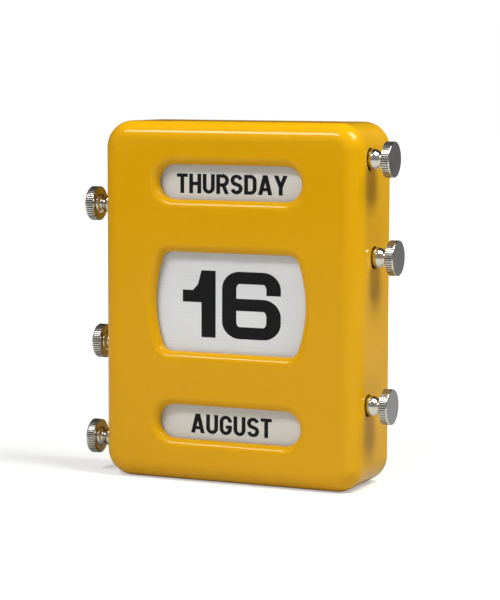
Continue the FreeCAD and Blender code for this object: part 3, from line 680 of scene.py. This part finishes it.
def make_knob(window, part):
    side = SIDE_OF_PART[part]
    origin = joint_place(window, part)
    name = "%s_%s" % (window, part)
    skin = lathe_along_x(knob_profile(), KNOB_STEPS, origin, side)
    knob = mesh_object(name + "_thumb_knob", skin.vertices, skin.faces, NICKEL)
    knob.data.materials.append(NICKEL_FACE)
    knob.data.materials.append(KNURL_PAINTED_SHADE)
    tidy_normals(knob)
    face_x = CASE_WIDTH / 2 + KNOB_REACH
    # Polygons on the face take the satin face finish; polygons on the knurl root take the near-black painted
    # shade.
    for polygon in knob.data.polygons:
        radius = math.hypot(polygon.center.y - origin[1], polygon.center.z - origin[2])
        if abs(abs(polygon.center.x) - face_x) < FACE_NEAR:
            polygon.material_index = 1
        elif abs(radius - KNURL_ROOT) < ROOT_NEAR:
            polygon.material_index = 2
    weighted_normals(knob, angle=32)
    length = KNOB_THICKNESS - SMOOTH_RIM - RIB_INSET
    start = KNOB_REACH - KNOB_THICKNESS + RIB_INSET
    centre = Vector((side * (CASE_WIDTH / 2 + start + length / 2), origin[1], origin[2]))
    ribs = mesh_object(name + "_knurl", [(0, 0, 0)], [], NICKEL_RIB_PAINTED_BRIGHT)
    modifier = ribs.modifiers.new("knurl", "NODES")
    modifier.node_group = KNURL_TREE
    set_inputs(modifier, {"Length": length, "Centre": tuple(centre), "Material": NICKEL_RIB_PAINTED_BRIGHT})
    make_plain(ribs)
    ribs.data.materials.append(KNURL_PAINTED_SHADE)
    # Rib flanks, which face neither outwards nor along the axis, take the near-black painted shade.
    for polygon in ribs.data.polygons:
        outward = Vector((0, polygon.center.y - origin[1], polygon.center.z - origin[2])).normalized()
        if polygon.normal.dot(outward) < LAND_FACING and abs(polygon.normal.x) < END_FACING:
            polygon.material_index = len(ribs.data.materials) - 1
    weighted_normals(ribs, angle=50)
    body = name + "_roller"
    for piece in (knob, ribs):
        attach(piece, body)
    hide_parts(name + "_knob")


# Lettering on the bands: every letter is a set of strokes, joined into one thin raised solid


INK_RAISE = 0.03 * MM
INK_DEPTH = 1.3 * INK_RAISE
FLAT_ANGLE = math.radians(0.5)
WELD_DISTANCE = 1e-8
STRIP_GAP = 0.75 * MM
DATE_GAP = 3.2 * MM
STRIP_CAP_HEIGHT = 8.9 * MM
DATE_CAP_HEIGHT = 30.6 * MM
PRINT_DROP = 0.7 * MM
STRIP_STYLE = {"thick": 1.9 * MM, "thin": 1.55 * MM, "corner": 2.0 * MM}
DATE_STYLE = {"thick": 7.1 * MM, "thin": 5.5 * MM, "corner": 5.2 * MM}
CAPS_WIDTH = {"T": 5.5, "H": 6.0, "U": 6.0, "R": 6.3, "S": 6.0, "D": 6.1, "A": 6.9, "Y": 6.7, "G": 6.2}
DIGIT_WIDTH = {"1": 16.5, "6": 29.0}
CURVE_STEPS = 12


def stroke(path, thick, thin):
    """An outline along a path: upright parts are as wide as thick, level parts as wide as thin."""
    left, right = [], []
    last = len(path) - 1
    for index, (x, y) in enumerate(path):
        before, after = path[max(index - 1, 0)], path[min(index + 1, last)]
        along = Vector((after[0] - before[0], after[1] - before[1])).normalized()
        bend = 1.0
        if 0 < index < last:
            bend = 1 / max(0.5, Vector((x - before[0], y - before[1])).normalized().dot(along))
        across, up = -along.y * thick / 2 * bend, along.x * thin / 2 * bend
        left.append((x + across, y + up))
        right.append((x - across, y - up))
    return left + right[::-1]


def curve(cx, cy, rx, ry, start, end):
    """Part of an ellipse; angles are in quarter turns."""
    points = []
    for step in range(CURVE_STEPS + 1):
        angle = QUARTER * (start + (end - start) * step / CURVE_STEPS)
        points.append((cx + rx * math.cos(angle), cy + ry * math.sin(angle)))
    return points


def bar(x0, y0, x1, y1):
    return [(x0, y0), (x1, y0), (x1, y1), (x0, y1)]


class Box:
    """The space of one letter: its size, its strokes' widths and the lines that its strokes follow."""

    def __init__(self, width, height, thick, thin, corner):
        self.width, self.height, self.thick, self.thin, self.corner = width, height, thick, thin, corner
        self.left, self.right = thick / 2, width - thick / 2
        self.low, self.high = thin / 2, height - thin / 2
        self.middle = height / 2
        self.half = (self.right - self.left) / 2

    def stroke(self, path):
        return stroke(path, self.thick, self.thin)

    def stem(self, x):
        return bar(x, 0, x + self.thick, self.height)

    def mirrored(self, outline):
        return [(self.width - x, y) for x, y in outline]

    def bowl(self, top, low):
        """A rounded right side between two levels, joined to the left edge."""
        r = self.corner
        path = [(self.left, top), (self.right - r, top)]
        path += curve(self.right - r, top - r, r, r, 1, 0) + curve(self.right - r, low + r, r, r, 0, -1)
        return self.stroke(path + [(self.left, low)])


def letter_t(box):
    return [bar(0, box.height - box.thin, box.width, box.height), box.stem((box.width - box.thick) / 2)]


def letter_h(box):
    cross = bar(0, box.middle - box.low, box.width, box.middle + box.low)
    return [box.stem(0), box.stem(box.width - box.thick), cross]


def letter_u(box):
    turn = curve(box.width / 2, box.low + box.half, box.half, box.half, 2, 4)
    return [box.stroke([(box.left, box.height), *turn, (box.right, box.height)])]


def letter_d(box):
    return [box.stem(0), box.bowl(box.high, box.low)]


def letter_r(box):
    waist = box.height * 0.46
    leg = [(box.width * 0.40, waist), (box.width * 0.40 + box.thick, waist),
           (box.width, 0), (box.width - box.thick * 1.1, 0)]
    return [box.stem(0), box.bowl(box.high, waist), leg]


def letter_s(box):
    rise = (box.high - box.middle) / 2
    upper, lower = box.middle + rise, box.middle - rise
    path = curve(box.width / 2, upper, box.half, rise, 0.12, 2.55)
    path += curve(box.width / 2, lower, box.half, rise, 0.55, -1.88)
    return [box.stroke(path)]


def letter_g(box):
    r = box.half
    path = [(box.right, box.height * 0.66)] + curve(box.width / 2, box.high - r, r, r, 0, 2)
    path += curve(box.width / 2, box.low + r, r, r, 2, 4) + [(box.right, box.middle)]
    return [box.stroke(path), bar(box.width * 0.50, box.middle - box.thin, box.width, box.middle)]


def letter_a(box):
    apex = box.width / 2
    leg = [(0, 0), (box.thick * 1.05, 0), (apex + box.thick * 0.45, box.height),
           (apex - box.thick * 0.62, box.height)]
    cross = bar(box.width * 0.2, box.height * 0.2, box.width * 0.8, box.height * 0.2 + box.thin * 0.9)
    return [leg, box.mirrored(leg), cross]


def letter_y(box):
    fork = box.height * 0.40
    stem = (box.width - box.thick) / 2
    arm = [(0, box.height), (stem, fork), (stem + box.thick, fork), (box.thick * 1.15, box.height)]
    return [arm, box.mirrored(arm), bar(stem, 0, stem + box.thick, fork)]


def digit_1(box):
    level = box.height * 0.70
    stem_middle = box.width - box.left
    flag = [(0, level - box.thin), (stem_middle, level - box.thin), (stem_middle, box.height),
            (box.width - box.thick, box.height), (box.width - box.thick * 1.25, level + box.thin * 0.5),
            (box.width - box.thick * 1.6, level), (0, level)]
    return [box.stem(box.width - box.thick), flag]


def digit_6(box):
    r = box.corner
    shoulder = box.height * 0.51
    hook = [(box.right, box.height * 0.66), *curve(box.right - r, box.high - r, r, r, 0, 1)]
    hook += curve(box.left + r, box.high - r, r, r, 1, 2) + curve(box.left + r, box.low + r, r, r, 2, 3)
    hook.append((box.width / 2, box.low))
    ring = [(box.width / 2, box.low), *curve(box.right - r, box.low + r, r, r, 3, 4)]
    ring += curve(box.right - r, shoulder - r, r, r, 0, 1) + [(box.left, shoulder)]
    return [box.stroke(hook), box.stroke(ring)]


GLYPHS = {"T": letter_t, "H": letter_h, "U": letter_u, "R": letter_r, "S": letter_s, "D": letter_d,
          "A": letter_a, "Y": letter_y, "G": letter_g, "1": digit_1, "6": digit_6}


def anticlockwise(outline):
    area = sum(a[0] * b[1] - b[0] * a[1] for a, b in zip(outline, outline[1:] + outline[:1]))
    return outline if area > 0 else outline[::-1]


def join_outlines(outlines):
    """Triangles that cover overlapping outlines once and leave their holes open."""
    points, faces = [], []
    for outline in outlines:
        start = len(points)
        points += [Vector(point) for point in anticlockwise(outline)]
        faces.append(list(range(start, start + len(outline))))
    found = delaunay_2d_cdt(points, [], faces, 0, WELD_DISTANCE)
    return found[0], [triangle for triangle, owners in zip(found[2], found[5]) if owners]


def make_lettering(window, text, height, widths, gap, style):
    """A word or number in the middle of its window, standing a hair proud of the band."""
    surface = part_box(window + "_band")[0][1]
    total = sum(widths[letter] * MM for letter in text) + gap * (len(text) - 1)
    cursor = -total / 2
    base = WINDOW_Z[window] - PRINT_DROP - height / 2
    work = bmesh.new()
    for letter in text:
        width = widths[letter] * MM
        points, triangles = join_outlines(GLYPHS[letter](Box(width, height, **style)))
        made = [work.verts.new((cursor + p.x, surface - INK_RAISE, base + p.y)) for p in points]
        for triangle in triangles:
            work.faces.new([made[corner] for corner in triangle])
        cursor += width + gap
    bmesh.ops.delete(work, geom=[v for v in work.verts if not v.link_faces], context="VERTS")
    bmesh.ops.dissolve_limit(work, angle_limit=FLAT_ANGLE, verts=work.verts, edges=work.edges)
    extruded = bmesh.ops.extrude_face_region(work, geom=work.faces[:])
    moved = [item for item in extruded["geom"] if isinstance(item, bmesh.types.BMVert)]
    bmesh.ops.translate(work, verts=moved, vec=(0, INK_DEPTH, 0))
    bmesh.ops.recalc_face_normals(work, faces=work.faces)
    mesh = bpy.data.meshes.new(window + "_print")
    work.to_mesh(mesh)
    work.free()
    item = bpy.data.objects.new(window + "_print", mesh)
    bpy.context.scene.collection.objects.link(item)
    mesh.materials.append(INK)
    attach(item, "case")


def make_print():
    strip = (STRIP_CAP_HEIGHT, CAPS_WIDTH, STRIP_GAP, STRIP_STYLE)
    make_lettering("day", "THURSDAY", *strip)
    make_lettering("month", "AUGUST", *strip)
    make_lettering("date", "16", DATE_CAP_HEIGHT, DIGIT_WIDTH, DATE_GAP, DATE_STYLE)


# Stage, light and camera


FLOOR_REACH = 6.0
FLOOR_GREY = 0.62
FLOOR_FADE = (0.12, 0.9, 0.42, 1.0)
CARD_FADE = (0.0, 0.09, 0.42, 0.14)
CARD_LEFT, CARD_RIGHT = 0.066, 0.6
CARD_NEAR, CARD_FAR = 0.03, 0.36
CARD_LOW, CARD_TOP = 0.001, 0.5
ROOM_FRONT = (-0.2, -0.95, 0.24)
ROOM_FADE = (-0.4, 1.0, 0.04, 0.43)
FAR_CLIP = 50


def make_floor():
    """A pale floor that fades to white for the camera and keeps the shadow near the object."""
    corners = [(across * FLOOR_REACH, along * FLOOR_REACH, 0)
               for across, along in ((-1, -1), (1, -1), (1, 1), (-1, 1))]
    material = bpy.data.materials.new("pale_floor")
    material.use_nodes = True
    tree = material.node_tree
    tree.nodes.clear()
    sink = node(tree, "OutputMaterial")
    matt = node(tree, "BsdfDiffuse")
    matt.inputs["Color"].default_value = (FLOOR_GREY, FLOOR_GREY, FLOOR_GREY, 1)
    place = node(tree, "TexCoord")
    distance = node(tree, "VectorMath", operation="LENGTH")
    tree.links.new(place.outputs["Object"], distance.inputs[0])
    level = fade(tree, distance.outputs["Value"], *FLOOR_FADE, kind="SMOOTHSTEP")
    rays = node(tree, "LightPath")
    strength = node(tree, "Math", operation="MULTIPLY")
    tree.links.new(rays.outputs["Is Camera Ray"], strength.inputs[0])
    tree.links.new(level.outputs["Result"], strength.inputs[1])
    glow = node(tree, "Emission")
    tree.links.new(strength.outputs[0], glow.inputs["Strength"])
    total = node(tree, "AddShader")
    tree.links.new(matt.outputs[0], total.inputs[0])
    tree.links.new(glow.outputs[0], total.inputs[1])
    tree.links.new(total.outputs[0], sink.inputs["Surface"])
    floor = mesh_object("floor", corners, [(0, 1, 2, 3)], material, False)


def make_dark_card():
    """A dark card behind the right side: only polished metal and enamel see it."""
    material = bpy.data.materials.new("dark_card")
    material.use_nodes = True
    tree = material.node_tree
    shader = tree.nodes["Principled BSDF"]
    place = node(tree, "TexCoord")
    height = node(tree, "SeparateXYZ")
    tree.links.new(place.outputs["Object"], height.inputs[0])
    level = fade(tree, height.outputs["Z"], *CARD_FADE)
    shader.inputs["Base Color"].default_value = (0, 0, 0, 1)
    shader.inputs["Emission Color"].default_value = (1, 1, 1, 1)
    shader.inputs["Specular IOR Level"].default_value = 0.0
    tree.links.new(level.outputs["Result"], shader.inputs["Emission Strength"])
    corners = [(CARD_LEFT, CARD_NEAR, CARD_LOW), (CARD_RIGHT, CARD_NEAR, CARD_LOW),
               (CARD_RIGHT, CARD_FAR, CARD_LOW), (CARD_LEFT, CARD_FAR, CARD_LOW),
               (CARD_LEFT, CARD_FAR, CARD_TOP), (CARD_RIGHT, CARD_FAR, CARD_TOP)]
    card = mesh_object("dark_card", corners, [(0, 1, 2, 3), (3, 2, 5, 4)], material, False)
    card.visible_camera = False
    card.visible_diffuse = False
    card.visible_shadow = False


def make_world():
    """White to the camera; a room for light and reflections that is pale in front and dim behind."""
    world = bpy.data.worlds.new("studio")
    bpy.context.scene.world = world
    world.use_nodes = True
    tree = world.node_tree
    tree.nodes.clear()
    sink = node(tree, "OutputWorld")
    seen = node(tree, "Background")
    seen.inputs["Color"].default_value = (1, 1, 1, 1)
    room = node(tree, "Background")
    way = node(tree, "TexCoord")
    facing = node(tree, "VectorMath", operation="DOT_PRODUCT")
    facing.inputs[1].default_value = ROOM_FRONT
    tree.links.new(way.outputs["Generated"], facing.inputs[0])
    level = fade(tree, facing.outputs["Value"], *ROOM_FADE, kind="SMOOTHSTEP")
    tree.links.new(level.outputs["Result"], room.inputs["Strength"])
    rays = node(tree, "LightPath")
    choose = node(tree, "MixShader")
    tree.links.new(rays.outputs["Is Camera Ray"], choose.inputs["Fac"])
    tree.links.new(room.outputs[0], choose.inputs[1])
    tree.links.new(seen.outputs[0], choose.inputs[2])
    tree.links.new(choose.outputs[0], sink.inputs["Surface"])


def aim(item, place, target):
    item.location = place
    item.rotation_mode = "QUATERNION"
    item.rotation_quaternion = (Vector(target) - Vector(place)).to_track_quat("-Z", "Y")


def direction(azimuth, elevation):
    """A unit vector from the object: azimuth 0 is the front, 90 the right side, in degrees."""
    a, e = math.radians(azimuth), math.radians(elevation)
    return Vector((math.sin(a) * math.cos(e), -math.cos(a) * math.cos(e), math.sin(e)))


def softbox(name, azimuth, elevation, distance, width, height, power, tint=(1, 1, 1)):
    lamp = bpy.data.lights.new(name, "AREA")
    lamp.color = tint
    lamp.shape = "RECTANGLE"
    lamp.size = width
    lamp.size_y = height
    lamp.energy = power
    item = bpy.data.objects.new(name, lamp)
    bpy.context.scene.collection.objects.link(item)
    centre = Vector((0, 0, MIDDLE_Z))
    aim(item, centre + direction(azimuth, elevation) * distance, centre)


CAMERA_AZIMUTH = 23.75
CAMERA_ELEVATION = 5.904
CAMERA_ROLL = 0.177
CAMERA_DISTANCE = 0.9927
CAMERA_TARGET = Vector((0.00235, 0.00139, 0.08309))
CAMERA_LENS = 129.7


def make_camera():
    data = bpy.data.cameras.new("camera")
    data.lens = CAMERA_LENS
    data.clip_end = FAR_CLIP
    item = bpy.data.objects.new("camera", data)
    bpy.context.scene.collection.objects.link(item)
    back = direction(CAMERA_AZIMUTH, CAMERA_ELEVATION)
    right = (-back).cross(Vector((0, 0, 1))).normalized()
    up = right.cross(-back)
    roll = math.radians(CAMERA_ROLL)
    right_rolled = right * math.cos(roll) + up * math.sin(roll)
    up_rolled = up * math.cos(roll) - right * math.sin(roll)
    turn = Matrix((right_rolled, up_rolled, back)).transposed()
    item.matrix_world = Matrix.Translation(CAMERA_TARGET + back * CAMERA_DISTANCE) @ turn.to_4x4()
    bpy.context.scene.camera = item


def make_studio():
    make_floor()
    make_dark_card()
    make_world()
    softbox("key_softbox", azimuth=-25, elevation=48, distance=1.3, width=0.60, height=0.18, power=9.6)
    softbox("side_softbox", azimuth=84, elevation=54, distance=1.2, width=0.55, height=0.55, power=17.5,
            tint=(0.94, 1.0, 0.9))
    make_camera()
    bpy.context.scene.view_settings.view_transform = "Standard"


def main():
    dress_cad_nodes()
    make_case()
    for window in WINDOWS:
        for part in SIDE_OF_PART:
            make_knob(window, part)
    make_print()
    make_studio()


main()
